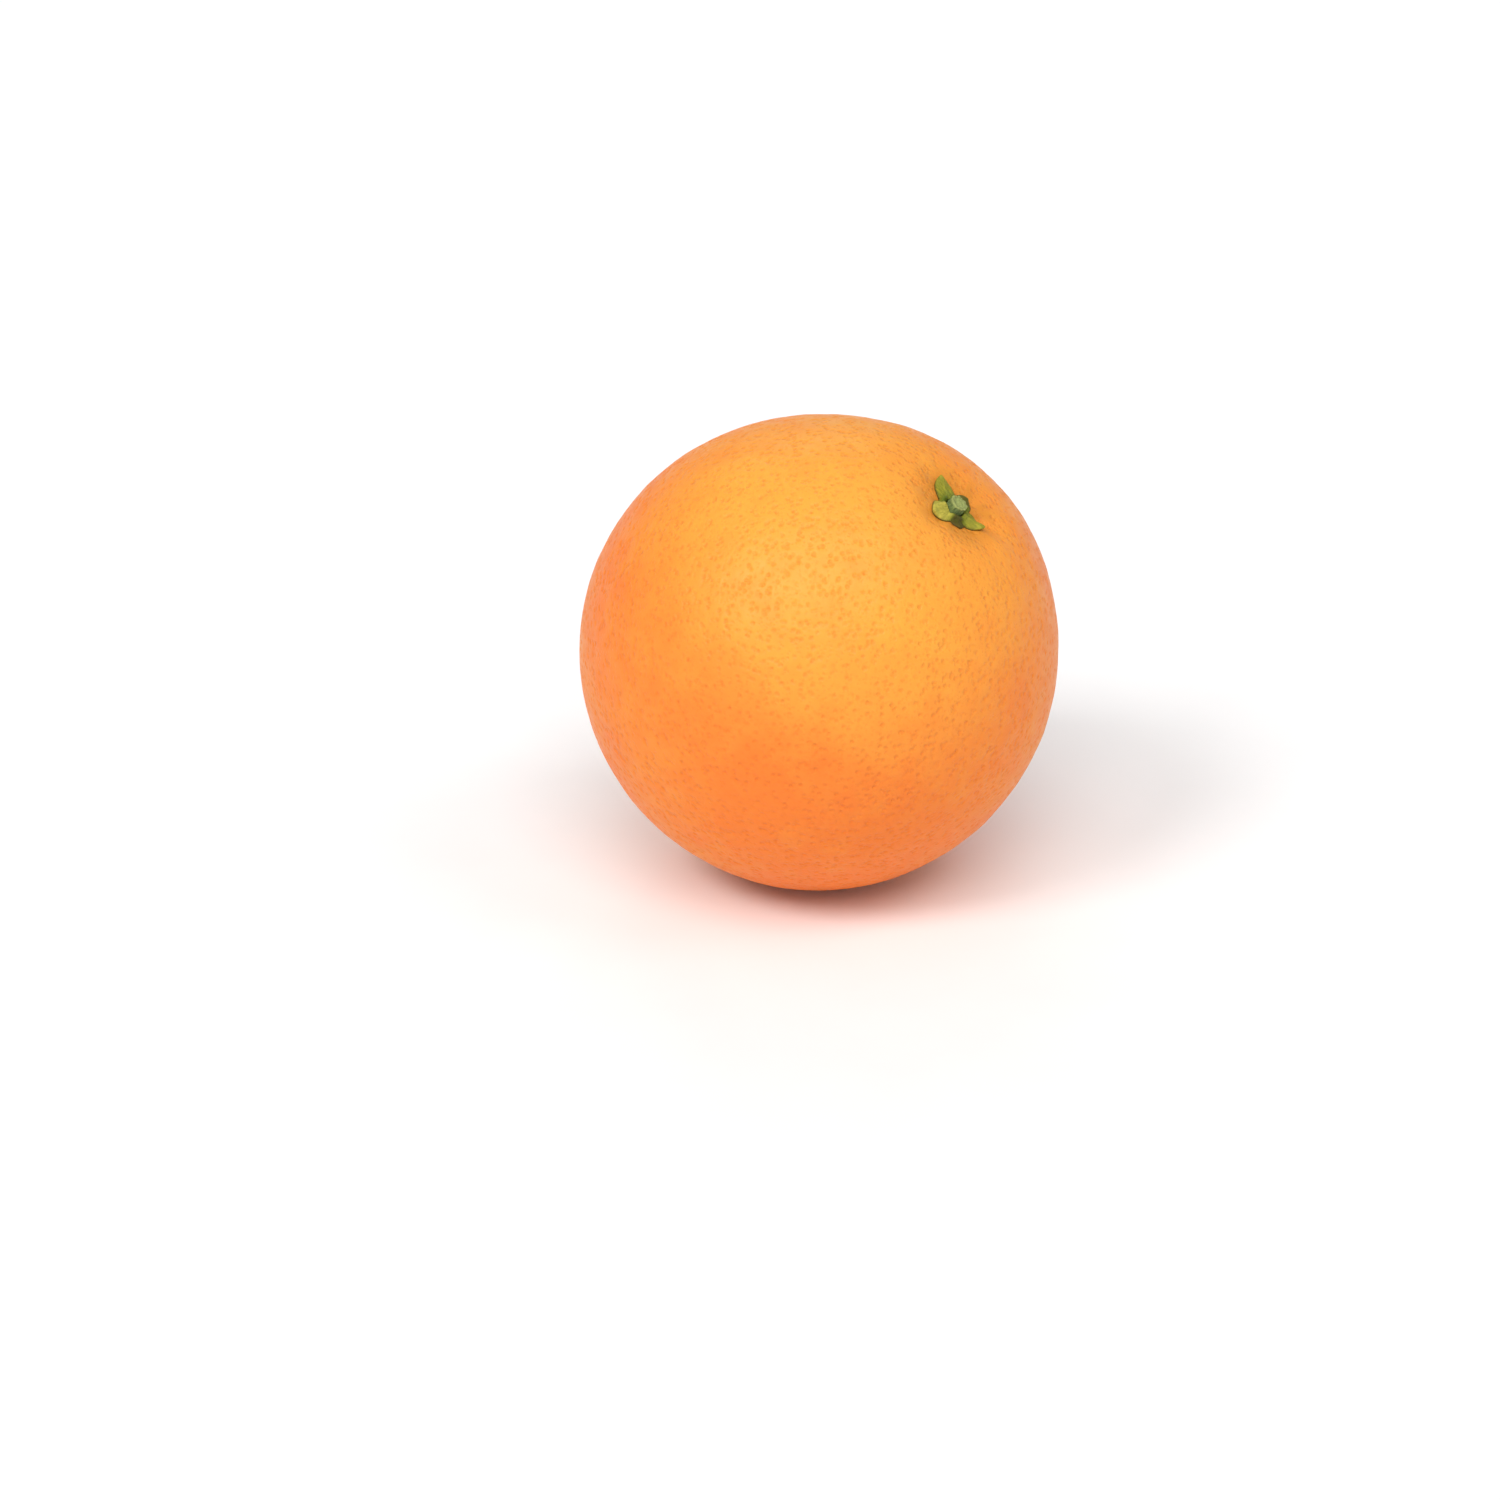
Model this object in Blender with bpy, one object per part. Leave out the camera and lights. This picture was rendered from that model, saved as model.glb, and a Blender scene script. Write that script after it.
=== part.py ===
"""A fresh sweet orange with its green calyx and the clipped stub of its stem.

Each piece is first shaped round a stem axis that points straight up, with the middle of the fruit at the
origin. The whole orange then leans over towards +X and stands on a small flat spot, and the middle of that
spot becomes the origin. Lengths are in metres and angles in degrees.
"""

import math

import bmesh
import bpy
from mathutils import Matrix, Vector

# The body of the fruit, before its stem end and blossom end are formed
GIRTH_DIAMETER = 0.0762
BODY_LENGTH = 0.0768

# The stem end: a low swelling with a shallow hollow inside it, both measured along the skin
SHOULDER_RISE = 0.0013
SHOULDER_RADIUS = 0.0135
SHOULDER_SPREAD = 0.011
HOLLOW_DEPTH = 0.0022
HOLLOW_SPREAD = 0.0062

# The blossom end: a small round scar
SCAR_DEPTH = 0.0007
SCAR_SPREAD = 0.0026

# The girth is a little uneven, as on any grown fruit
OVAL_RISE = 0.0003
OVAL_TURN = 35
LOBED_RISE = 0.00018
LOBED_TURN = 80

# How the fruit lies
STEM_LEAN = 39.6
REST_SPOT_DIAMETER = 0.014

# The calyx: five sepals of uneven reach round one ring, as (turn round the stem, reach, half width)
SEPALS = (
    (16, 0.0053, 35),
    (92, 0.0041, 33),
    (159, 0.0057, 36),
    (258, 0.0050, 39),
    (317, 0.0042, 28),
)
CALYX_NOTCH_RADIUS = 0.0033
CALYX_RING_THICKNESS = 0.0011
SEPAL_TIP_THICKNESS = 0.0004

# The stem stub
STUB_DIAMETER = 0.003
STUB_RISE = 0.0011
STUB_EDGE = 0.00025

# The air left between neighbouring pieces
CLEARANCE = 0.0003

# How finely each piece is divided
FRUIT_SEGMENTS = 56
FRUIT_RINGS = 38
END_CROWDING = 0.72
CALYX_SEGMENTS = 60
CALYX_RINGS = 6
STUB_SEGMENTS = 28

# Colours as linear red, green and blue, and how rough each surface is
PEEL_COLOUR = (0.93, 0.30, 0.035)
PEEL_ROUGHNESS = 0.42
CALYX_COLOUR = (0.21, 0.25, 0.03)
CALYX_ROUGHNESS = 0.7
STUB_COLOUR = (0.30, 0.33, 0.14)
STUB_ROUGHNESS = 0.8


def clear_scene():
    for old in list(bpy.data.objects):
        bpy.data.objects.remove(old, do_unlink=True)


def swelling(distance, middle, spread):
    """A smooth bell of height 1 at the middle distance, the same on both sides of the stem axis."""
    near = math.exp(-(((distance - middle) / spread) ** 2))
    far = math.exp(-(((distance + middle) / spread) ** 2))
    return near + far


def skin_radius(polar, turn):
    """How far the skin is from the fruit's middle. Polar is the angle from the stem, in radians."""
    half_girth = GIRTH_DIAMETER / 2
    half_length = BODY_LENGTH / 2
    body = 1 / math.hypot(math.sin(polar) / half_girth, math.cos(polar) / half_length)
    from_stem = polar * half_girth
    from_blossom = (math.pi - polar) * half_girth
    shoulder = SHOULDER_RISE * swelling(from_stem, SHOULDER_RADIUS, SHOULDER_SPREAD)
    hollow = HOLLOW_DEPTH * math.exp(-((from_stem / HOLLOW_SPREAD) ** 2))
    scar = SCAR_DEPTH * math.exp(-((from_blossom / SCAR_SPREAD) ** 2))
    oval = OVAL_RISE * math.sin(polar) ** 2 * math.cos(2 * (turn - math.radians(OVAL_TURN)))
    lobed = LOBED_RISE * math.sin(polar) ** 3 * math.cos(3 * (turn - math.radians(LOBED_TURN)))
    return body + shoulder - hollow - scar + oval + lobed


def outward(polar, turn):
    """The direction at this angle from the stem and this turn round it."""
    level = math.sin(polar)
    return Vector((level * math.cos(turn), level * math.sin(turn), math.cos(polar)))


def ring_polar(index):
    """The rings lie closer together at the two ends, where the shape is finest."""
    share = index / FRUIT_RINGS
    crowding = END_CROWDING * math.sin(math.tau * share) / math.tau
    return math.pi * (share - crowding)


def polar_at(radius):
    """The angle from the stem at which the skin is this far out from the stem axis."""
    polar = radius / (GIRTH_DIAMETER / 2)
    for _ in range(6):
        polar = math.asin(radius / skin_radius(polar, 0))
    return polar


def add_object(name, shape, colour, roughness):
    """Turns a closed shape into a smooth, named object with its own material."""
    bmesh.ops.recalc_face_normals(shape, faces=shape.faces)
    mesh = bpy.data.meshes.new(name)
    shape.to_mesh(mesh)
    shape.free()
    mesh.shade_smooth()
    mesh.set_sharp_from_angle(angle=math.radians(45))
    material = bpy.data.materials.new(name)
    material.use_nodes = True
    shader = material.node_tree.nodes["Principled BSDF"]
    shader.inputs["Base Color"].default_value = (*colour, 1)
    shader.inputs["Roughness"].default_value = roughness
    shader.inputs["Metallic"].default_value = 0
    mesh.materials.append(material)
    made = bpy.data.objects.new(name, mesh)
    bpy.context.scene.collection.objects.link(made)
    return made


def join_rings(shape, rings):
    """Faces between each ring of points and the next."""
    for lower, upper in zip(rings, rings[1:]):
        count = len(lower)
        for here in range(count):
            following = (here + 1) % count
            shape.faces.new((lower[here], lower[following], upper[following], upper[here]))


def close_to_point(shape, ring, point):
    """A fan of triangles from a ring of points to one point."""
    tip = shape.verts.new(point)
    for here, following in zip(ring, ring[1:] + ring[:1]):
        shape.faces.new((here, following, tip))


def fruit_shape():
    """The whole skin as rings of points from stem to blossom, closed at both ends."""
    shape = bmesh.new()
    turns = [math.tau * step / FRUIT_SEGMENTS for step in range(FRUIT_SEGMENTS)]
    rings = []
    for index in range(1, FRUIT_RINGS):
        polar = ring_polar(index)
        rings.append([shape.verts.new(outward(polar, t) * skin_radius(polar, t)) for t in turns])
    join_rings(shape, rings)
    close_to_point(shape, rings[0], outward(0, 0) * skin_radius(0, 0))
    close_to_point(shape, rings[-1], outward(math.pi, 0) * skin_radius(math.pi, 0))
    return shape


def lean():
    return Matrix.Rotation(math.radians(STEM_LEAN), 4, "Y")


def lowest_below(shape):
    """How far the leaning fruit reaches below its middle."""
    turned = lean()
    return -min((turned @ point.co).z for point in shape.verts)


def standing(shape):
    """The move that leans the orange over and puts the middle of its rest spot at the origin."""
    reach = lowest_below(shape)
    half_spot = REST_SPOT_DIAMETER / 2
    height = math.sqrt(reach**2 - half_spot**2)
    return Matrix.Translation((0, 0, height)) @ lean()


def cut_rest_spot(shape):
    """Cuts the leaning fruit off level with the ground and closes the cut with one flat face."""
    everything = shape.verts[:] + shape.edges[:] + shape.faces[:]
    bmesh.ops.bisect_plane(
        shape, geom=everything, plane_co=(0, 0, 0), plane_no=(0, 0, -1), clear_outer=True
    )
    rim = [edge for edge in shape.edges if edge.is_boundary]
    bmesh.ops.contextual_create(shape, geom=rim)


def build_fruit(shape, move):
    bmesh.ops.transform(shape, matrix=move, verts=shape.verts)
    cut_rest_spot(shape)
    add_object("fruit", shape, PEEL_COLOUR, PEEL_ROUGHNESS)


def calyx_reach(turn):
    """The calyx's outline: how far it reaches from the stem axis at this turn."""
    reach = CALYX_NOTCH_RADIUS
    for middle, sepal_reach, half_width in SEPALS:
        away = math.degrees(turn) - middle
        away = abs((away + 180) % 360 - 180) / half_width
        if away < 1:
            rise = (sepal_reach - CALYX_NOTCH_RADIUS) * math.cos(away * math.pi / 2)
            reach = max(reach, CALYX_NOTCH_RADIUS + rise)
    return reach


def build_calyx(move):
    """A thin star with a round hole for the stem. Its underside follows the skin."""
    shape = bmesh.new()
    turns = [math.tau * step / CALYX_SEGMENTS for step in range(CALYX_SEGMENTS)]
    inner = STUB_DIAMETER / 2 + CLEARANCE
    under = []
    over = []
    for index in range(CALYX_RINGS + 1):
        share = index / CALYX_RINGS
        thickness = CALYX_RING_THICKNESS + (SEPAL_TIP_THICKNESS - CALYX_RING_THICKNESS) * share
        under.append([])
        over.append([])
        for turn in turns:
            polar = polar_at(inner + (calyx_reach(turn) - inner) * share)
            seat = skin_radius(polar, turn) + CLEARANCE
            under[-1].append(shape.verts.new(outward(polar, turn) * seat))
            over[-1].append(shape.verts.new(outward(polar, turn) * (seat + thickness)))
    join_rings(shape, under + over[::-1] + under[:1])
    bmesh.ops.transform(shape, matrix=move, verts=shape.verts)
    add_object("calyx", shape, CALYX_COLOUR, CALYX_ROUGHNESS)


def build_stem_stub(move):
    """A short round peg that stands on the skin inside the calyx and ends in a clean cut."""
    shape = bmesh.new()
    turns = [math.tau * step / STUB_SEGMENTS for step in range(STUB_SEGMENTS)]
    foot = skin_radius(0, 0) + CLEARANCE
    top = foot + CALYX_RING_THICKNESS + STUB_RISE
    radius = STUB_DIAMETER / 2
    foot_at_edge = skin_radius(polar_at(radius), 0) + CLEARANCE
    profile = (
        (radius, max(foot, foot_at_edge)),
        (radius, top - STUB_EDGE),
        (radius - STUB_EDGE, top),
    )
    rings = []
    for distance, height in profile:
        rings.append(
            [shape.verts.new((distance * math.cos(t), distance * math.sin(t), height)) for t in turns]
        )
    join_rings(shape, rings)
    shape.faces.new(rings[0])
    shape.faces.new(rings[-1])
    bmesh.ops.transform(shape, matrix=move, verts=shape.verts)
    add_object("stem_stub", shape, STUB_COLOUR, STUB_ROUGHNESS)


def main():
    clear_scene()
    skin = fruit_shape()
    move = standing(skin)
    build_calyx(move)
    build_stem_stub(move)
    build_fruit(skin, move)


main()
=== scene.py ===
"""A fresh orange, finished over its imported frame: pitted peel, calyx and clipped stem.

Laid out as an add-on and run as a script. Every length is in metres unless a property says otherwise.
"""

import math

import bmesh
import bpy
from mathutils import Matrix, Vector


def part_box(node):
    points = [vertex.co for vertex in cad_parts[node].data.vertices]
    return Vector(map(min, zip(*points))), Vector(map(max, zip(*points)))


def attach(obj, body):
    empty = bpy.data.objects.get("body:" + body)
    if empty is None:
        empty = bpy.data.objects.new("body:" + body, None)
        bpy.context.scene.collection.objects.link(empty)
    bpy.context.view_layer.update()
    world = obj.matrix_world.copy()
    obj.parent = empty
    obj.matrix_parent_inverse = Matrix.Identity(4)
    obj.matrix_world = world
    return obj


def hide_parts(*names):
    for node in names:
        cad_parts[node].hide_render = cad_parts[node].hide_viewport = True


bl_info = {
    "name": "Orange Maker",
    "version": (1, 0, 0),
    "blender": (4, 5, 0),
    "location": "View3D > Sidebar > Orange",
    "description": "Makes a fresh orange with pitted peel, a green calyx and a clipped stem",
    "category": "Object",
}

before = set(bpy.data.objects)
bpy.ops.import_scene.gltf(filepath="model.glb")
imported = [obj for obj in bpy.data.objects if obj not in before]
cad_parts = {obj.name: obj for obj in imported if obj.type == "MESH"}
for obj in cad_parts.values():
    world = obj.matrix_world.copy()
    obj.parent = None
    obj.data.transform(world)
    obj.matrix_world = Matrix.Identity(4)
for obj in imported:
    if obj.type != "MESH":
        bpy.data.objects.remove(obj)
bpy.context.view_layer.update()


def middle_of(node):
    low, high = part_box(node)
    return (low + high) / 2


# The stem's line runs from the core, inside the fruit, through the middle of the clipped stem
FRUIT_MIDDLE = middle_of("fruit")
FRUIT_RADIUS = sum(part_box("fruit")[1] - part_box("fruit")[0]) / 6
STUB_MIDDLE = middle_of("stem_stub")
CORE = Vector((FRUIT_MIDDLE.x, STUB_MIDDLE.y, FRUIT_MIDDLE.z))
STEM_AXIS = (STUB_MIDDLE - CORE).normalized()
STEM_LEAN = math.atan2(STEM_AXIS.x, STEM_AXIS.z)
STUB_RADIUS = (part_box("stem_stub")[1].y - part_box("stem_stub")[0].y) / 2

# Stands at the clipped stem's middle, with Z along the stem and X leaning with it
STEM_FRAME = Matrix.Translation(STUB_MIDDLE) @ Matrix.Rotation(STEM_LEAN, 4, "Y")


def in_stem_frame(node):
    """The corners of a frame node, as the stem frame sees them."""
    return [STEM_FRAME.inverted() @ corner.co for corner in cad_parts[node].data.vertices]


STUB_TOP = max(corner.z for corner in in_stem_frame("stem_stub"))
STUB_FOOT = min(corner.z for corner in in_stem_frame("stem_stub"))

# The two ends of the stem's line, as the sign of Z along it
STEM_END = 1
BLOSSOM_END = -1

# The side of the fruit turned to the key lamp: the peel is painted golden towards it and deeper away from
# it, as painted light and shade
PAINTED_LIGHT_SIDE = Vector((0.36, -0.47, 0.81)).normalized()


class OrangePeelSettings(bpy.types.PropertyGroup):
    pit_spacing: bpy.props.FloatProperty(
        name="Pit Spacing", description="Usual distance between two oil pits",
        default=0.00150, min=0.0005, max=0.005, subtype="DISTANCE", unit="LENGTH")
    pit_depth: bpy.props.FloatProperty(
        name="Pit Depth", description="How deep the largest pits are",
        default=0.00013, min=0, max=0.001, subtype="DISTANCE", unit="LENGTH")
    ripple_height: bpy.props.FloatProperty(
        name="Ripple Height", description="Height of the slow swells under the pits",
        default=0.00016, min=0, max=0.002, subtype="DISTANCE", unit="LENGTH")
    furrow_depth: bpy.props.FloatProperty(
        name="Furrow Depth", description="Depth of the folds that run out from the calyx",
        default=0.00045, min=0, max=0.002, subtype="DISTANCE", unit="LENGTH")
    golden: bpy.props.FloatVectorProperty(
        name="Golden Peel", description="The lighter peel colour",
        default=(0.87, 0.367, 0.047), size=3, min=0, max=1, subtype="COLOR")
    deep: bpy.props.FloatVectorProperty(
        name="Deep Peel", description="The redder peel colour",
        default=(0.85, 0.206, 0.027), size=3, min=0, max=1, subtype="COLOR")
    scar: bpy.props.FloatVectorProperty(
        name="Scar", description="The dry scar at the blossom end",
        default=(0.32, 0.17, 0.05), size=3, min=0, max=1, subtype="COLOR")


class OrangeCalyxSettings(bpy.types.PropertyGroup):
    green: bpy.props.FloatVectorProperty(
        name="Sepal Green", description="The fresh green of the sepals",
        default=(0.13, 0.17, 0.010), size=3, min=0, max=1, subtype="COLOR")
    olive: bpy.props.FloatVectorProperty(
        name="Sepal Olive", description="The yellower green where the sepals ripen",
        default=(0.36, 0.32, 0.018), size=3, min=0, max=1, subtype="COLOR")
    pale: bpy.props.FloatVectorProperty(
        name="Sepal Pale", description="The palest sepal, which caught the most sun",
        default=(0.56, 0.47, 0.075), size=3, min=0, max=1, subtype="COLOR")
    # Dark brown, for the darkest sepals and for the painted shade where the sepals come down to the peel
    brown: bpy.props.FloatVectorProperty(
        name="Dark Brown And Painted Shade", description="The dry brown of the sepal edges",
        default=(0.07, 0.050, 0.008), size=3, min=0, max=1, subtype="COLOR")
    ridge_height: bpy.props.FloatProperty(
        name="Ridge Height", description="Height of a sepal's ridge over the peel, at the stem",
        default=0.00115, min=0.0002, max=0.004, subtype="DISTANCE", unit="LENGTH")
    tip_lift: bpy.props.FloatProperty(
        name="Tip Lift", description="How far a sepal's tip curls up off the peel",
        default=0.00045, min=0, max=0.002, subtype="DISTANCE", unit="LENGTH")


class OrangeStubSettings(bpy.types.PropertyGroup):
    cut: bpy.props.FloatVectorProperty(
        name="Cut Face", description="The pale face of the clipped stem",
        default=(0.34, 0.38, 0.115), size=3, min=0, max=1, subtype="COLOR")
    bark: bpy.props.FloatVectorProperty(
        name="Stem Bark", description="The skin round the stem",
        default=(0.21, 0.28, 0.09), size=3, min=0, max=1, subtype="COLOR")


class OrangeStageSettings(bpy.types.PropertyGroup):
    camera_azimuth: bpy.props.FloatProperty(
        name="Camera Azimuth", description="Turn of the camera round the orange",
        default=math.radians(31), subtype="ANGLE", unit="ROTATION")
    camera_elevation: bpy.props.FloatProperty(
        name="Camera Elevation", description="Height of the camera over the ground, as an angle",
        default=math.radians(22), subtype="ANGLE", unit="ROTATION")
    camera_distance: bpy.props.FloatProperty(
        name="Camera Distance", description="From the camera to the middle of the orange",
        default=0.6, min=0.1, subtype="DISTANCE", unit="LENGTH")
    lens: bpy.props.FloatProperty(
        name="Lens", description="Focal length in millimetres", default=90, min=20, unit="CAMERA")
    floor: bpy.props.FloatVectorProperty(
        name="Floor", description="Colour of the ground", default=(0.95, 0.95, 0.95),
        size=3, min=0, max=1, subtype="COLOR")


# Small tools for working on one object at a time


def work_on(piece):
    """Makes one piece the only selected and active object."""
    bpy.ops.object.select_all(action="DESELECT")
    piece.select_set(True)
    bpy.context.view_layer.objects.active = piece


def edit(piece):
    work_on(piece)
    bpy.ops.object.mode_set(mode="EDIT")
    bpy.ops.mesh.select_all(action="SELECT")


def finish_edit():
    bpy.ops.object.mode_set(mode="OBJECT")


def face_outward():
    """In edit mode, turns every face's normal out."""
    bpy.ops.mesh.select_all(action="SELECT")
    bpy.ops.mesh.normals_make_consistent(inside=False)


def pick(piece, wanted):
    """In edit mode, selects just the corners whose place is wanted."""
    net = bmesh.from_edit_mesh(piece.data)
    for corner in net.verts:
        corner.select_set(wanted(corner.co))
    net.select_flush_mode()
    bmesh.update_edit_mesh(piece.data)


def copy_of(piece):
    twin = piece.copy()
    twin.data = piece.data.copy()
    bpy.context.scene.collection.objects.link(twin)
    return twin


def join(pieces):
    """Makes one object of several, and returns it."""
    work_on(pieces[0])
    for piece in pieces[1:]:
        piece.select_set(True)
    bpy.ops.object.join()
    return pieces[0]


def add_modifier(piece, kind, **settings):
    """Adds a modifier, sets it and applies it at once."""
    modifier = piece.modifiers.new(kind.title(), kind)
    for name, value in settings.items():
        setattr(modifier, name, value)
    work_on(piece)
    bpy.ops.object.modifier_apply(modifier=modifier.name)


def settle(piece):
    """Puts the object at the origin, unturned and unscaled, with its place in its mesh."""
    work_on(piece)
    bpy.ops.object.transform_apply(location=True, rotation=True, scale=True)


def name_piece(piece, name, node):
    """Names a finished piece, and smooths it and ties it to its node."""
    piece.name = name
    piece.data.name = name
    settle(piece)
    bpy.ops.object.shade_smooth()
    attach(piece, "root")
    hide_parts(node)


# Tools for building materials and relief out of nodes


def scaled(colour, share):
    return tuple(channel * share for channel in colour)


class NodeKit:
    """Adds linked nodes to one tree, of a material or of a modifier."""

    def __init__(self, tree):
        self.tree = tree

    def add(self, kind, inputs=None, **settings):
        node = self.tree.nodes.new(kind)
        for name, value in settings.items():
            setattr(node, name, value)
        for name, value in (inputs or {}).items():
            self.set(node.inputs[name], value)
        return node

    def set(self, socket, value):
        if isinstance(value, bpy.types.NodeSocket):
            self.tree.links.new(value, socket)
        else:
            socket.default_value = value

    def math(self, operation, first, second=0.0, clamp=False):
        node = self.add("ShaderNodeMath", {0: first, 1: second}, operation=operation, use_clamp=clamp)
        return node.outputs["Value"]

    def plus(self, first, second, clamp=False):
        return self.math("ADD", first, second, clamp)

    def times(self, first, second):
        return self.math("MULTIPLY", first, second)

    def vector(self, operation, first, second=(0, 0, 0)):
        node = self.add("ShaderNodeVectorMath", {0: first, 1: second}, operation=operation)
        return node.outputs["Vector"]

    def dot(self, first, second):
        node = self.add("ShaderNodeVectorMath", {0: first, 1: second}, operation="DOT_PRODUCT")
        return node.outputs["Value"]

    def stretch(self, vector, amount):
        node = self.add("ShaderNodeVectorMath", {0: vector, "Scale": amount}, operation="SCALE")
        return node.outputs["Vector"]

    def ramp(self, value, low, high, start=0.0, end=1.0):
        """Goes smoothly from start to end as value goes from low to high."""
        node = self.add("ShaderNodeMapRange", interpolation_type="SMOOTHSTEP")
        for name, number in (
            ("Value", value), ("From Min", low), ("From Max", high), ("To Min", start), ("To Max", end)
        ):
            self.set(node.inputs[name], number)
        return node.outputs["Result"]

    def noise(self, vector, scale, detail=2.0, roughness=0.5):
        inputs = {"Vector": vector, "Scale": scale, "Detail": detail, "Roughness": roughness}
        return self.add("ShaderNodeTexNoise", inputs).outputs[0]

    def wobble(self, vector, scale, detail=2.0, roughness=0.5):
        """The same noise with its middle at 0."""
        return self.math("SUBTRACT", self.noise(vector, scale, detail, roughness), 0.5)

    def cells(self, vector, scale, randomness=0.9):
        """How far each point is from the nearest of many scattered seeds, in seed spacings."""
        inputs = {"Vector": vector, "Scale": scale, "Randomness": randomness}
        return self.add("ShaderNodeTexVoronoi", inputs, feature="F1").outputs["Distance"]

    def mix(self, share, first, second):
        node = self.add("ShaderNodeMix", data_type="RGBA", blend_type="MIX")
        self.set(node.inputs["Factor"], share)
        for socket, value in ((node.inputs[6], first), (node.inputs[7], second)):
            self.set(socket, value if isinstance(value, bpy.types.NodeSocket) else (*value, 1))
        return node.outputs[2]

    def roughen(self, shader, height, strength, distance):
        """Bumps a shader's surface by a height."""
        inputs = {"Height": height, "Strength": strength, "Distance": distance}
        self.set(shader.inputs["Normal"], self.add("ShaderNodeBump", inputs).outputs["Normal"])


def new_material(name):
    material = bpy.data.materials.new(name)
    material.use_nodes = True
    kit = NodeKit(material.node_tree)
    shader = material.node_tree.nodes["Principled BSDF"]
    place = kit.add("ShaderNodeTexCoord").outputs["Object"]
    return material, kit, shader, place


def new_relief(name):
    """An empty modifier tree, with its kit, the shape that comes in and the place of each corner."""
    tree = bpy.data.node_groups.new(name, "GeometryNodeTree")
    for way in ("INPUT", "OUTPUT"):
        tree.interface.new_socket("Geometry", in_out=way, socket_type="NodeSocketGeometry")
    kit = NodeKit(tree)
    shape = kit.add("NodeGroupInput").outputs["Geometry"]
    place = kit.add("GeometryNodeInputPosition").outputs["Position"]
    return tree, kit, shape, place


def moved(kit, shape, **inputs):
    """The shape with its corners at a new Position, or moved by an Offset."""
    return kit.add("GeometryNodeSetPosition", {"Geometry": shape, **inputs}).outputs["Geometry"]


def raised(kit, shape, height):
    """The shape with its surface raised by a height."""
    normal = kit.add("GeometryNodeInputNormal").outputs["Normal"]
    return moved(kit, shape, Offset=kit.stretch(normal, height))


def split(kit, vector):
    return kit.add("ShaderNodeSeparateXYZ", {"Vector": vector}).outputs


def stem_place(kit, place):
    """The place seen from the core, turned so that the stem points straight up."""
    inputs = {"Vector": kit.vector("SUBTRACT", place, tuple(CORE)), "Angle": -STEM_LEAN}
    return kit.add("ShaderNodeVectorRotate", inputs, rotation_type="Y_AXIS").outputs["Vector"]


def from_axis(kit, along):
    """How far a place is from the stem axis."""
    parts = split(kit, along)
    squares = [kit.math("POWER", parts[axis], 2.0) for axis in ("X", "Y")]
    return kit.math("SQRT", kit.plus(*squares))


def near_end(kit, along, which, full, none):
    """1 within full of the stem axis, fading to 0 at none, at one end of the fruit only."""
    side = kit.math("GREATER_THAN", kit.times(split(kit, along)["Z"], float(which)), 0.0)
    return kit.times(side, kit.ramp(from_axis(kit, along), full, none, 1.0, 0.0))


def round_stem(kit, along):
    """The level direction out from the stem's line, with a length of 1."""
    return kit.vector("NORMALIZE", kit.vector("MULTIPLY", along, (1, 1, 0)))


def spokes(kit, along, count_scale, drift, detail=0.0):
    """Noise that runs out from the stem's line in spokes and wanders a little on the way."""
    wander = kit.stretch(along, drift)
    return kit.noise(kit.vector("ADD", round_stem(kit, along), wander), count_scale, detail)


# The peel. A zone is two distances from the stem's line: in full inside the first, gone past the second.
# The scale of plain noise is in repeats a metre. That of spokes gives about six spokes for each 1, and
# their drift says how quickly they wander
SWELL_SCALE = 160.0
FOLD_ZONE = (0.0045, 0.0145)
FOLD_SCALE, FOLD_DRIFT = 1.7, 12.0
FOLD_LEVEL = 0.52
FOLD_GAIN = 3
CREASE_ZONE = (0.001, 0.006)
CREASE_SCALE, CREASE_DRIFT = 2.6, 30.0
SCAR_ZONE = (0.0014, 0.0024)
SCAR_RING_ZONE = (0.002, 0.0042)
SCAR_RING_SHARE = 0.45
SCAR_RING = (0.66, 0.27, 0.04)
# Painted shade: a darker brown over the hollow round the calyx, streaked along spokes
PAINTED_CALYX_SHADE_ZONE = (0.0048, 0.0098)
PAINTED_CALYX_SHADE_SHARE = 0.70
PAINTED_CALYX_SHADE_SCALE, PAINTED_CALYX_SHADE_DRIFT = 1.4, 90.0
PAINTED_CALYX_SHADE = (0.60, 0.215, 0.022)

# Painted light and shade: colour turns from golden to deep between these two shares of facing the lit side,
# up to a last share
PAINTED_LIGHT_FROM, PAINTED_SHADE_FROM, PAINTED_SHADE_SHARE = 1.06, 0.36, 0.88
PATCH_SCALE, PATCH_SHARE = 34.0, 1.0
MOTTLE_SCALE, MOTTLE_SHARE = 210.0, 0.6
LARGE_PIT_TINT, FINE_PIT_TINT = 0.26, 0.17
PIT_COLOUR_SHARES = (0.93, 0.78, 0.6)

# Heights of the bump are shares of a large pit's depth
FINE_PIT_DEPTH = 0.38
GRAIN_SCALE, GRAIN_HEIGHT = 2600.0, 0.10
PUCKER_SCALE, PUCKER_HEIGHT = 700.0, 0.5
WAX_SCALE = 420.0
WAX_ROUGHNESS = (0.36, 0.48)
SCAR_ROUGHNESS = 0.35
PIT_ROUGHNESS = 0.08

# A pit is at its deepest within this share of a seed spacing. The shifts only part one set from the next
PIT_FLOOR = 0.04
LAYER_SHIFT = Vector((0.31, 0.17, 0.23))
FINE_SHIFT = (0.41, 0.53, 0.11)
FINE_PIT_SPACING = 0.55


def scattered_pits(kit, place, spacing, layers, edge):
    """1 in the middle of each pit and 0 between them. Each layer adds pits among those of the last."""
    pits = None
    for layer in range(layers):
        shifted = kit.vector("ADD", place, tuple(LAYER_SHIFT * layer))
        found = kit.ramp(kit.cells(shifted, 1 / spacing), edge, PIT_FLOOR)
        pits = found if pits is None else kit.math("MAXIMUM", pits, found)
    return pits


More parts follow.
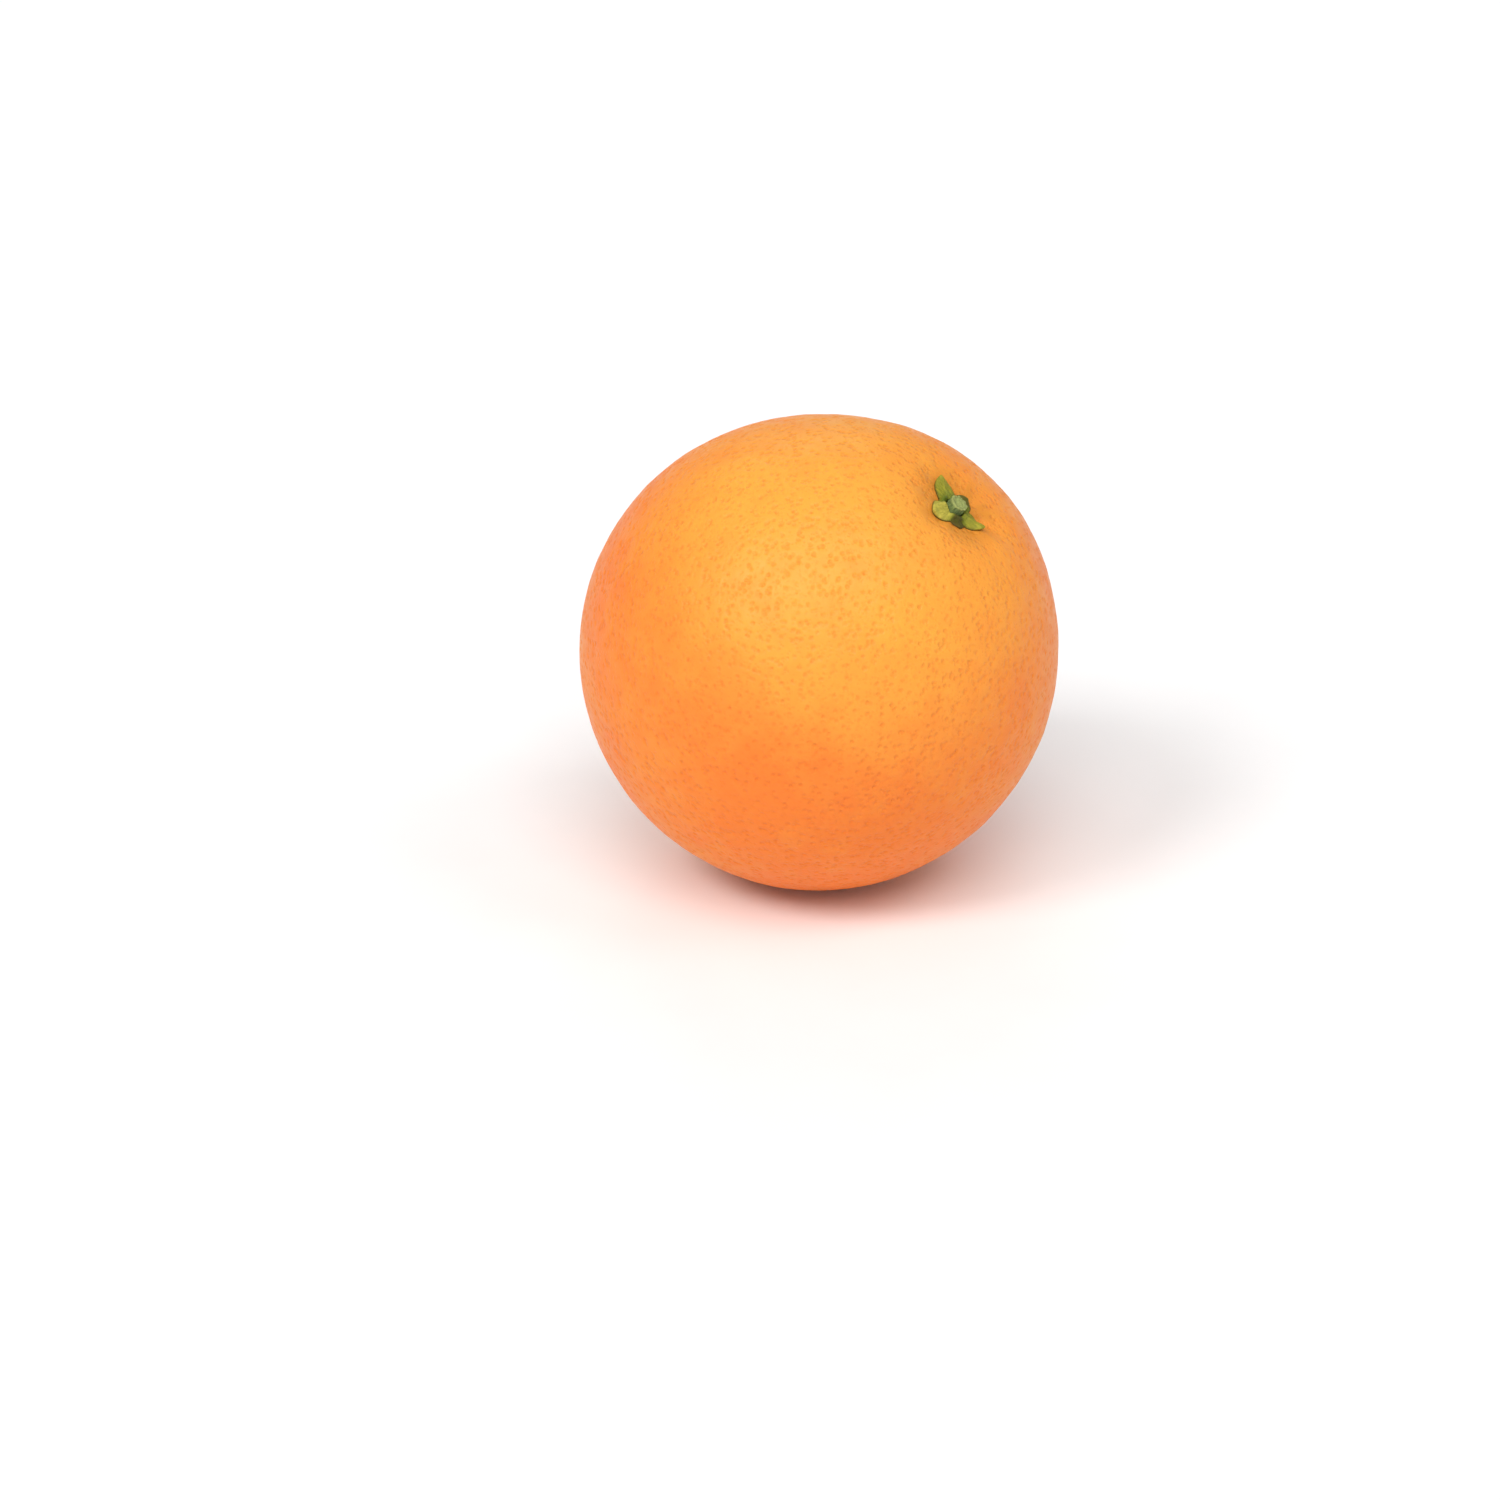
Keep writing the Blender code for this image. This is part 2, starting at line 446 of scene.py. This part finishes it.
def large_pits(kit, place, spacing):
    return scattered_pits(kit, place, spacing, layers=3, edge=0.35)


def fine_pits(kit, place, spacing):
    shifted = kit.vector("ADD", place, FINE_SHIFT)
    return scattered_pits(kit, shifted, spacing * FINE_PIT_SPACING, layers=2, edge=0.38)


def round_net(centre, radius, levels):
    """An even net of four-sided faces over a ball."""
    bpy.ops.object.select_all(action="DESELECT")
    bpy.ops.mesh.primitive_cube_add(size=radius * 2, location=centre)
    net = bpy.context.object
    settle(net)
    add_modifier(net, "SUBSURF", levels=levels, render_levels=levels)
    edit(net)
    bpy.ops.transform.tosphere(value=1)
    finish_edit()
    return net


def smooth_guide(node):
    """A rounded copy of a frame node, for other meshes to be wrapped on."""
    guide = copy_of(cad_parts[node])
    guide.parent = None
    edit(guide)
    bpy.ops.mesh.remove_doubles(threshold=0.00001)
    widest = math.radians(40)
    bpy.ops.mesh.tris_convert_to_quads(face_threshold=widest, shape_threshold=widest)
    finish_edit()
    add_modifier(guide, "SUBSURF", levels=2, render_levels=2)
    return guide


def peel_relief(settings):
    """The peel's shape: slow swells, pits, folds round the calyx and creases at the scar."""
    tree, kit, shape, place = new_relief("Peel Relief")
    along = stem_place(kit, place)
    swell = kit.times(kit.wobble(place, SWELL_SCALE), settings.ripple_height * 2)
    pits = kit.times(large_pits(kit, place, settings.pit_spacing), -settings.pit_depth)
    folds = kit.math("SUBTRACT", spokes(kit, along, FOLD_SCALE, FOLD_DRIFT), FOLD_LEVEL)
    folds = kit.times(folds, near_end(kit, along, STEM_END, *FOLD_ZONE))
    folds = kit.times(folds, settings.furrow_depth * FOLD_GAIN)
    creases = kit.math("SUBTRACT", spokes(kit, along, CREASE_SCALE, CREASE_DRIFT), 0.5)
    creases = kit.times(creases, near_end(kit, along, BLOSSOM_END, *CREASE_ZONE))
    creases = kit.times(creases, settings.furrow_depth)
    height = kit.plus(kit.plus(swell, pits), kit.plus(folds, creases))
    shape = raised(kit, shape, height)

    # Nothing of the fruit may end up below the ground that it stands on
    later = split(kit, kit.add("GeometryNodeInputPosition").outputs["Position"])
    above_ground = kit.math("MAXIMUM", later["Z"], 0.0)
    level = kit.add("ShaderNodeCombineXYZ", {"X": later["X"], "Y": later["Y"], "Z": above_ground})
    kit.add("NodeGroupOutput", {"Geometry": moved(kit, shape, Position=level.outputs["Vector"])})
    return tree


def peel_colour(kit, place, along, large, fine, settings):
    """Golden and deeper patches, golden towards the key lamp and deeper away from it as painted light and
    shade, darker pits, painted shade round the calyx and a dry scar.
    """
    out_from_middle = kit.vector("SUBTRACT", place, tuple(FRUIT_MIDDLE))
    # Painted light and shade: the peel turns golden towards the key lamp and deeper away from it, with
    # random patches and mottle added on top
    facing = kit.dot(out_from_middle, tuple(PAINTED_LIGHT_SIDE / FRUIT_RADIUS))
    painted_shade = kit.ramp(facing, PAINTED_LIGHT_FROM, PAINTED_SHADE_FROM, 0.0, PAINTED_SHADE_SHARE)
    patches = kit.times(kit.wobble(place, PATCH_SCALE, 3.0, 0.55), PATCH_SHARE)
    mottle = kit.times(kit.wobble(place, MOTTLE_SCALE, 3.0, 0.6), MOTTLE_SHARE)
    depth = kit.plus(painted_shade, kit.plus(patches, mottle), clamp=True)
    colour = kit.mix(depth, settings.golden, settings.deep)

    pit_colour = tuple(channel * share for channel, share in zip(settings.deep, PIT_COLOUR_SHARES))
    pit_tint = kit.plus(kit.times(large, LARGE_PIT_TINT), kit.times(fine, FINE_PIT_TINT), clamp=True)
    colour = kit.mix(pit_tint, colour, pit_colour)

    # Painted shade round the calyx, streaked along spokes
    calyx_shade = kit.times(near_end(kit, along, STEM_END, *PAINTED_CALYX_SHADE_ZONE), PAINTED_CALYX_SHADE_SHARE)
    streaks = spokes(kit, along, PAINTED_CALYX_SHADE_SCALE, PAINTED_CALYX_SHADE_DRIFT, 1.0)
    calyx_shade = kit.times(calyx_shade, kit.ramp(streaks, 0.30, 0.62, 0.45, 1.0))
    colour = kit.mix(calyx_shade, colour, PAINTED_CALYX_SHADE)
    scar_ring = kit.times(near_end(kit, along, BLOSSOM_END, *SCAR_RING_ZONE), SCAR_RING_SHARE)
    colour = kit.mix(scar_ring, colour, SCAR_RING)
    return kit.mix(near_end(kit, along, BLOSSOM_END, *SCAR_ZONE), colour, settings.scar)


def peel_material(settings):
    """Waxy orange peel, with a satin wax that breaks up over the pits."""
    material, kit, shader, place = new_material("Orange Peel")
    along = stem_place(kit, place)
    large = large_pits(kit, place, settings.pit_spacing)
    fine = fine_pits(kit, place, settings.pit_spacing)
    kit.set(shader.inputs["Base Color"], peel_colour(kit, place, along, large, fine, settings))

    wax = kit.ramp(kit.noise(place, WAX_SCALE, 3.0, 0.6), 0.25, 0.75, *WAX_ROUGHNESS)
    scar = near_end(kit, along, BLOSSOM_END, *SCAR_ZONE)
    roughness = kit.plus(wax, kit.times(scar, SCAR_ROUGHNESS))
    kit.set(shader.inputs["Roughness"], kit.plus(roughness, kit.times(large, PIT_ROUGHNESS)))

    height = kit.plus(kit.times(large, -1.0), kit.times(fine, -FINE_PIT_DEPTH))
    height = kit.plus(height, kit.times(kit.noise(place, GRAIN_SCALE), GRAIN_HEIGHT))
    height = kit.plus(height, kit.times(kit.noise(place, PUCKER_SCALE), PUCKER_HEIGHT))
    kit.roughen(shader, height, strength=0.75, distance=0.00016)

    shader.inputs["IOR"].default_value = 1.45
    shader.inputs["Specular IOR Level"].default_value = 0.23
    shader.inputs["Subsurface Weight"].default_value = 0.12
    shader.inputs["Subsurface Radius"].default_value = (1.0, 0.35, 0.08)
    shader.inputs["Subsurface Scale"].default_value = 0.0022
    return material


class ORANGE_OT_fruit(bpy.types.Operator):
    """Make the fruit: an even net wrapped on the frame, then given the relief and colour of peel"""

    bl_idname = "orange.fruit"
    bl_label = "Make Fruit"

    def execute(self, context):
        settings = context.scene.orange_peel
        fruit = round_net(FRUIT_MIDDLE, FRUIT_RADIUS, 7)
        guide = smooth_guide("fruit")
        add_modifier(fruit, "SHRINKWRAP", target=guide, wrap_method="NEAREST_SURFACEPOINT")
        bpy.data.objects.remove(guide)
        add_modifier(fruit, "NODES", node_group=peel_relief(settings))
        name_piece(fruit, "orange_fruit", "fruit")
        fruit.data.materials.append(peel_material(settings))
        return {"FINISHED"}


# Each sepal: its turn round the stem and its half width, in degrees, its shares of the ridge height and
# of the tip lift, and how far its colour goes towards pale (1) or towards dark brown (-1)
SEPALS = (
    (16, 35, 1.0, 0.9, 0.2),
    (92, 33, 0.7, 0.3, -0.75),
    (159, 36, 1.0, 0.7, 0.1),
    (258, 39, 1.1, 0.3, 0.8),
    (317, 28, 0.55, 0.2, -0.9),
)
SEPAL_ROWS = 24
SEPAL_COLUMNS = 16
SEPAL_START = 0.0016
NOTCH_RADIUS = 0.0033
CURL_LENGTH = 0.0019
COLLAR_THICKNESS = 0.0006
CALYX_VOXEL = 0.00009
WRINKLE_SCALE = 1900.0
WRINKLE_HEIGHT = 0.00022

# The calyx is laid on the peel by looking down from this far above it, over this length
LOOK_FROM = 0.02
LOOK_LENGTH = 0.05


def sepal_reach(turn):
    """How far from the stem the frame's sepal at this turn reaches."""
    def off_line(corner):
        return abs(math.remainder(math.degrees(math.atan2(corner.y, corner.x)) - turn, 360))
    near = (corner for corner in in_stem_frame("calyx") if off_line(corner) < 6)
    return max(math.hypot(corner.x, corner.y) for corner in near)


def sepal_blade(ridge):
    """A sepal as long and as wide as 1, its base at the origin, its tip along X, with a flat underside."""
    bpy.ops.object.select_all(action="DESELECT")
    bpy.ops.mesh.primitive_grid_add(
        x_subdivisions=SEPAL_ROWS, y_subdivisions=SEPAL_COLUMNS, size=1, location=(0.5, 0, 0))
    blade = bpy.context.object
    settle(blade)
    edit(blade)
    for column in range(SEPAL_COLUMNS + 1):
        across = column / SEPAL_COLUMNS - 0.5
        dome = 1 - 3.1 * across ** 2 + 0.14 * math.exp(-(across / 0.07) ** 2)
        pick(blade, lambda place: abs(place.y - across) < 0.01)
        bpy.ops.transform.translate(value=(0, 0, ridge * dome))
    for row in range(SEPAL_ROWS + 1):
        along = row / SEPAL_ROWS
        width = max(0.05, math.sin(math.pi * (0.26 + 0.74 * along)) ** 0.62)
        pick(blade, lambda place: abs(place.x - along) < 0.01)
        bpy.ops.transform.resize(value=(1, width, 1 - 0.55 * along), center_override=(along, 0, 0))
    bpy.ops.mesh.select_all(action="SELECT")
    bpy.ops.mesh.extrude_region_move()
    bpy.ops.transform.resize(value=(1, 1, 0), center_override=(0, 0, -0.1 * ridge))
    face_outward()
    finish_edit()
    return blade


def lift_tip(sepal, reach, lift):
    """Curls the last of a sepal off the peel, its underside with it."""
    edit(sepal)
    pick(sepal, lambda place: place.x > reach - 0.0002)
    bpy.ops.transform.translate(
        value=(0, 0, lift), use_proportional_edit=True,
        proportional_edit_falloff="SMOOTH", proportional_size=CURL_LENGTH)
    finish_edit()


def collar(height):
    """The low ring that the sepals grow from, close round the stem."""
    bpy.ops.object.select_all(action="DESELECT")
    bpy.ops.mesh.primitive_torus_add(
        major_segments=64, minor_segments=20,
        major_radius=STUB_RADIUS + COLLAR_THICKNESS, minor_radius=COLLAR_THICKNESS)
    ring = bpy.context.object
    edit(ring)
    bpy.ops.transform.resize(value=(1, 1, height / COLLAR_THICKNESS), center_override=(0, 0, 0))
    finish_edit()
    return ring


def calyx_seat(skin):
    """Lays a flat shape on the skin: its height over the flat becomes its height over the skin."""
    tree, kit, shape, place = new_relief("Seat On Peel")
    over = kit.dot(kit.vector("SUBTRACT", place, tuple(STUB_MIDDLE)), tuple(STEM_AXIS))
    peel = kit.add("GeometryNodeObjectInfo", {"Object": skin})
    fall = kit.add("GeometryNodeRaycast", {
        "Target Geometry": peel.outputs["Geometry"],
        "Source Position": kit.vector("ADD", place, tuple(STEM_AXIS * LOOK_FROM)),
        "Ray Direction": tuple(-STEM_AXIS), "Ray Length": LOOK_LENGTH})
    hit = fall.outputs["Hit Position"]
    outward = kit.vector("NORMALIZE", kit.vector("SUBTRACT", hit, tuple(CORE)))
    wrinkle = kit.times(kit.wobble(place, WRINKLE_SCALE, 3.0, 0.6), kit.ramp(over, 0.0, 0.0004))
    height = kit.plus(over, kit.times(wrinkle, WRINKLE_HEIGHT))
    noted = kit.add(
        "GeometryNodeStoreNamedAttribute", {"Geometry": shape, "Name": "height", "Value": over},
        data_type="FLOAT")
    seat = kit.vector("ADD", hit, kit.stretch(outward, height))
    kit.add("NodeGroupOutput", {"Geometry": moved(kit, noted.outputs["Geometry"], Position=seat)})
    return tree


def sepal_material(settings):
    """Leathery sepals: green at the stem, olive at the tips, each its own tone, and painted shade in dark
    brown at their low edges by the peel.
    """
    material, kit, shader, place = new_material("Sepal Skin")
    along = stem_place(kit, place)
    height = kit.add("ShaderNodeAttribute", attribute_name="height").outputs["Fac"]
    veins = kit.ramp(spokes(kit, along, 9.0, 60.0, 1.5), 0.35, 0.65)
    blotch = kit.ramp(kit.noise(place, 520.0, 3.0, 0.6), 0.35, 0.65)
    ripe = kit.times(kit.ramp(from_axis(kit, along), 0.0018, 0.0042), 0.85)
    ripe = kit.plus(ripe, kit.times(kit.math("SUBTRACT", blotch, 0.5), 0.45), clamp=True)
    colour = kit.mix(ripe, settings.green, settings.olive)
    for turn, half_width, _, _, tone in SEPALS:
        middle = (math.cos(math.radians(turn)), math.sin(math.radians(turn)), 0)
        inside = kit.ramp(
            kit.dot(round_stem(kit, along), middle),
            math.cos(math.radians(half_width)), math.cos(math.radians(half_width * 0.45)))
        tint = settings.pale if tone > 0 else settings.brown
        colour = kit.mix(kit.times(inside, abs(tone)), colour, tint)
    colour = kit.mix(kit.times(veins, 0.35), colour, scaled(settings.green, 0.5))
    # Painted shade: dark brown where the sepals come down low to the peel
    painted_shade_near_peel = kit.ramp(height, 0.00010, 0.00046, 0.9, 0.0)
    kit.set(shader.inputs["Base Color"], kit.mix(painted_shade_near_peel, colour, settings.brown))
    kit.set(shader.inputs["Roughness"], kit.ramp(blotch, 0.0, 1.0, 0.52, 0.68))
    grain = kit.plus(kit.noise(place, 4200.0, 3.0, 0.6), kit.times(veins, -0.8))
    kit.roughen(shader, grain, strength=0.5, distance=0.00008)
    shader.inputs["Specular IOR Level"].default_value = 0.22
    return material


class ORANGE_OT_calyx(bpy.types.Operator):
    """Make the calyx: five sepals grown from a low collar into one piece, laid on the peel"""

    bl_idname = "orange.calyx"
    bl_label = "Make Calyx"

    def execute(self, context):
        settings = context.scene.orange_calyx
        blade = sepal_blade(settings.ridge_height)
        parts = [collar(settings.ridge_height)]
        for turn, half_width, ridge, lift, _ in SEPALS:
            reach = sepal_reach(turn)
            width = 2 * NOTCH_RADIUS * math.sin(math.radians(half_width))
            sepal = copy_of(blade)
            sepal.scale = (reach - SEPAL_START, width, ridge)
            sepal.location.x = SEPAL_START
            settle(sepal)
            lift_tip(sepal, reach, settings.tip_lift * lift)
            sepal.rotation_euler.z = math.radians(turn)
            settle(sepal)
            parts.append(sepal)
        bpy.data.objects.remove(blade)
        calyx = join(parts)
        add_modifier(calyx, "REMESH", mode="VOXEL", voxel_size=CALYX_VOXEL)
        add_modifier(calyx, "SMOOTH", factor=0.5, iterations=3)
        calyx.matrix_world = STEM_FRAME
        settle(calyx)
        add_modifier(calyx, "NODES", node_group=calyx_seat(bpy.data.objects["orange_fruit"]))
        name_piece(calyx, "orange_calyx", "calyx")
        calyx.data.materials.clear()
        calyx.data.materials.append(sepal_material(settings))
        return {"FINISHED"}


# The clipped stem's outline from its foot to its pith: each a share of the height and of the radius
STUB_OUTLINE = (
    (0.00, 1.16), (0.18, 1.04), (0.45, 0.97), (0.75, 0.95), (0.90, 0.98), (0.97, 0.95),
    (1.00, 0.84), (0.97, 0.70), (0.92, 0.55), (0.91, 0.38), (0.95, 0.22), (0.96, 0.10),
)
STUB_SINK = 0.0006
FIBRE_HEIGHT = 0.00034
TORN_HEIGHT = 0.00036

# The cut face's colour comes in between these two depths below the stem's top
FACE_DEPTHS = (0.00038, 0.00014)


def stub_relief():
    """Fibres down the stem's side and a slightly torn cut face."""
    tree, kit, shape, place = new_relief("Stem Relief")
    along = stem_place(kit, place)
    fibres = kit.math("SUBTRACT", spokes(kit, along, 3.2, 120.0), 0.5)
    on_side = kit.ramp(from_axis(kit, along), STUB_RADIUS * 0.5, STUB_RADIUS * 0.9)
    fibres = kit.times(kit.times(fibres, on_side), FIBRE_HEIGHT)
    torn = kit.times(kit.wobble(place, 1700.0, 3.0, 0.6), TORN_HEIGHT)
    kit.add("NodeGroupOutput", {"Geometry": raised(kit, shape, kit.plus(fibres, torn))})
    return tree


def stub_material(settings):
    """Grey-green bark round a paler cut face with a darker ring under the bark."""
    material, kit, shader, place = new_material("Clipped Stem")
    along = stem_place(kit, place)
    top = (STUB_MIDDLE - CORE).length + STUB_TOP
    on_face = kit.ramp(split(kit, along)["Z"], *(top - depth for depth in FACE_DEPTHS))
    grain = kit.noise(place, 2600.0, 4.0, 0.65)
    fibres = kit.ramp(spokes(kit, along, 8.0, 120.0, 1.0), 0.35, 0.65)
    bark = kit.mix(fibres, settings.bark, scaled(settings.bark, 0.6))
    pale = kit.mix(kit.ramp(grain, 0.35, 0.65, 0.0, 0.6), settings.cut, scaled(settings.cut, 0.72))
    out = from_axis(kit, along)
    ring = kit.times(
        kit.ramp(out, STUB_RADIUS * 0.52, STUB_RADIUS * 0.68),
        kit.ramp(out, STUB_RADIUS * 0.74, STUB_RADIUS * 0.9, 1.0, 0.0))
    pale = kit.mix(kit.times(ring, 0.5), pale, scaled(settings.cut, 0.45))
    kit.set(shader.inputs["Base Color"], kit.mix(on_face, bark, pale))
    kit.set(shader.inputs["Roughness"], kit.ramp(grain, 0.3, 0.7, 0.62, 0.82))
    kit.roughen(shader, grain, strength=0.6, distance=0.0001)
    shader.inputs["Specular IOR Level"].default_value = 0.3
    return material


class ORANGE_OT_stub(bpy.types.Operator):
    """Make the clipped stem: a short fibrous stub with a hollowed cut face"""

    bl_idname = "orange.stub"
    bl_label = "Make Clipped Stem"

    def execute(self, context):
        settings = context.scene.orange_stub
        foot = STUB_FOOT - STUB_SINK
        tall = STUB_TOP - foot
        bpy.ops.object.select_all(action="DESELECT")
        bpy.ops.mesh.primitive_circle_add(
            vertices=40, radius=STUB_RADIUS * STUB_OUTLINE[0][1], fill_type="NGON",
            location=(0, 0, foot))
        stub = bpy.context.object
        settle(stub)
        edit(stub)
        for (low, narrow), (high, wide) in zip(STUB_OUTLINE, STUB_OUTLINE[1:]):
            step = (0, 0, (high - low) * tall)
            bpy.ops.mesh.extrude_region_move(TRANSFORM_OT_translate={"value": step})
            bpy.ops.transform.resize(value=(wide / narrow, wide / narrow, 1), center_override=(0, 0, 0))
        bpy.ops.mesh.poke()
        face_outward()
        finish_edit()
        add_modifier(stub, "SUBSURF", levels=2, render_levels=2)
        stub.matrix_world = STEM_FRAME
        settle(stub)
        add_modifier(stub, "NODES", node_group=stub_relief())
        name_piece(stub, "orange_stem_stub", "stem_stub")
        stub.data.materials.append(stub_material(settings))
        return {"FINISHED"}


class ORANGE_OT_stage(bpy.types.Operator):
    """Make the pale floor, the soft lights and the camera"""

    bl_idname = "orange.stage"
    bl_label = "Make Stage"

    def execute(self, context):
        settings = context.scene.orange_stage
        make_floor(settings)
        make_lights(context.scene)
        make_camera(context.scene, settings)
        context.scene.view_settings.view_transform = "Standard"
        return {"FINISHED"}


def make_floor(settings):
    bpy.ops.object.select_all(action="DESELECT")
    bpy.ops.mesh.primitive_circle_add(vertices=96, radius=3, fill_type="NGON", location=(0, 0, 0))
    floor = bpy.context.object
    floor.name = "stage_floor"
    material, kit, shader, place = new_material("Pale Floor")
    speckle = kit.ramp(kit.noise(place, 60.0), 0.3, 0.7, 0.985, 1.0)
    kit.set(shader.inputs["Base Color"], kit.mix(speckle, (0.0, 0.0, 0.0), settings.floor))
    shader.inputs["Roughness"].default_value = 0.8
    floor.data.materials.append(material)


def aim(piece, target):
    piece.rotation_euler = (Vector(target) - piece.location).to_track_quat("-Z", "Y").to_euler()


# Each far lamp: name, the way to it, how wide it looks in degrees, and its strength
LAMPS = (
    ("key_lamp", (0.34, -0.50, 0.80), 40, 1.48),
    ("left_lamp", (-0.17, -0.70, 0.69), 20, 1.10),
    ("right_lamp", (0.60, 0.15, 0.79), 24, 0.30),
    ("back_lamp", (-0.45, 0.62, 0.64), 30, 0.24),
)

# The surround shines most at the wall and least overhead, by how steeply the look goes up
WALL_LIGHT, WALL_RISE = 1.0, 0.03
CEILING_LIGHT, CEILING_RISE = 0.38, 0.25


def make_lights(scene):
    for name, way, width, strength in LAMPS:
        bpy.ops.object.light_add(type="SUN", location=Vector(way))
        lamp = bpy.context.object
        lamp.name = name
        lamp.data.angle = math.radians(width)
        lamp.data.energy = strength
        aim(lamp, (0, 0, 0))
    world = bpy.data.worlds.new("Soft Surround")
    world.use_nodes = True
    kit = NodeKit(world.node_tree)
    rise = split(kit, kit.add("ShaderNodeTexCoord").outputs["Generated"])["Z"]
    background = world.node_tree.nodes["Background"]
    background.inputs["Color"].default_value = (1, 1, 1, 1)
    light = kit.ramp(rise, WALL_RISE, CEILING_RISE, WALL_LIGHT, CEILING_LIGHT)
    kit.set(background.inputs["Strength"], light)
    scene.world = world


# The sensor's width in millimetres, and how far the look is off the orange, as shares of the view
SENSOR_WIDTH = 36
LOOK_LEFT, LOOK_LOW = 0.0457, 0.0677


def make_camera(scene, settings):
    """Looks a little below and left of the orange, which therefore stands above and right of the middle."""
    turn, rise = settings.camera_azimuth, settings.camera_elevation
    back = Vector((math.sin(turn) * math.cos(rise), -math.cos(turn) * math.cos(rise), math.sin(rise)))
    right = Vector((math.cos(turn), math.sin(turn), 0))
    up = back.cross(right)
    seen_width = settings.camera_distance * SENSOR_WIDTH / settings.lens
    bpy.ops.object.camera_add(location=FRUIT_MIDDLE + back * settings.camera_distance)
    camera = bpy.context.object
    camera.data.sensor_width = SENSOR_WIDTH
    camera.data.lens = settings.lens
    aim(camera, FRUIT_MIDDLE - right * seen_width * LOOK_LEFT - up * seen_width * LOOK_LOW)
    camera.data.clip_start = 0.01
    scene.camera = camera


class ORANGE_PT_maker(bpy.types.Panel):
    """Lists what the maker can make, in the order to make it"""

    bl_label = "Orange Maker"
    bl_idname = "ORANGE_PT_maker"
    bl_space_type = "VIEW_3D"
    bl_region_type = "UI"
    bl_category = "Orange"

    def draw(self, context):
        for step in STEPS:
            self.layout.operator(step)


SETTINGS = {
    "orange_peel": OrangePeelSettings,
    "orange_calyx": OrangeCalyxSettings,
    "orange_stub": OrangeStubSettings,
    "orange_stage": OrangeStageSettings,
}
STEPS = ("orange.fruit", "orange.calyx", "orange.stub", "orange.stage")
CLASSES = (
    *SETTINGS.values(),
    ORANGE_OT_fruit, ORANGE_OT_calyx, ORANGE_OT_stub, ORANGE_OT_stage, ORANGE_PT_maker)


def register():
    for made in CLASSES:
        bpy.utils.register_class(made)
    for name, group in SETTINGS.items():
        setattr(bpy.types.Scene, name, bpy.props.PointerProperty(type=group))


def unregister():
    for name in SETTINGS:
        delattr(bpy.types.Scene, name)
    for made in reversed(CLASSES):
        bpy.utils.unregister_class(made)


def main():
    register()
    bpy.ops.orange.fruit()
    bpy.ops.orange.calyx()
    bpy.ops.orange.stub()
    bpy.ops.orange.stage()


if __name__ == "__main__":
    main()
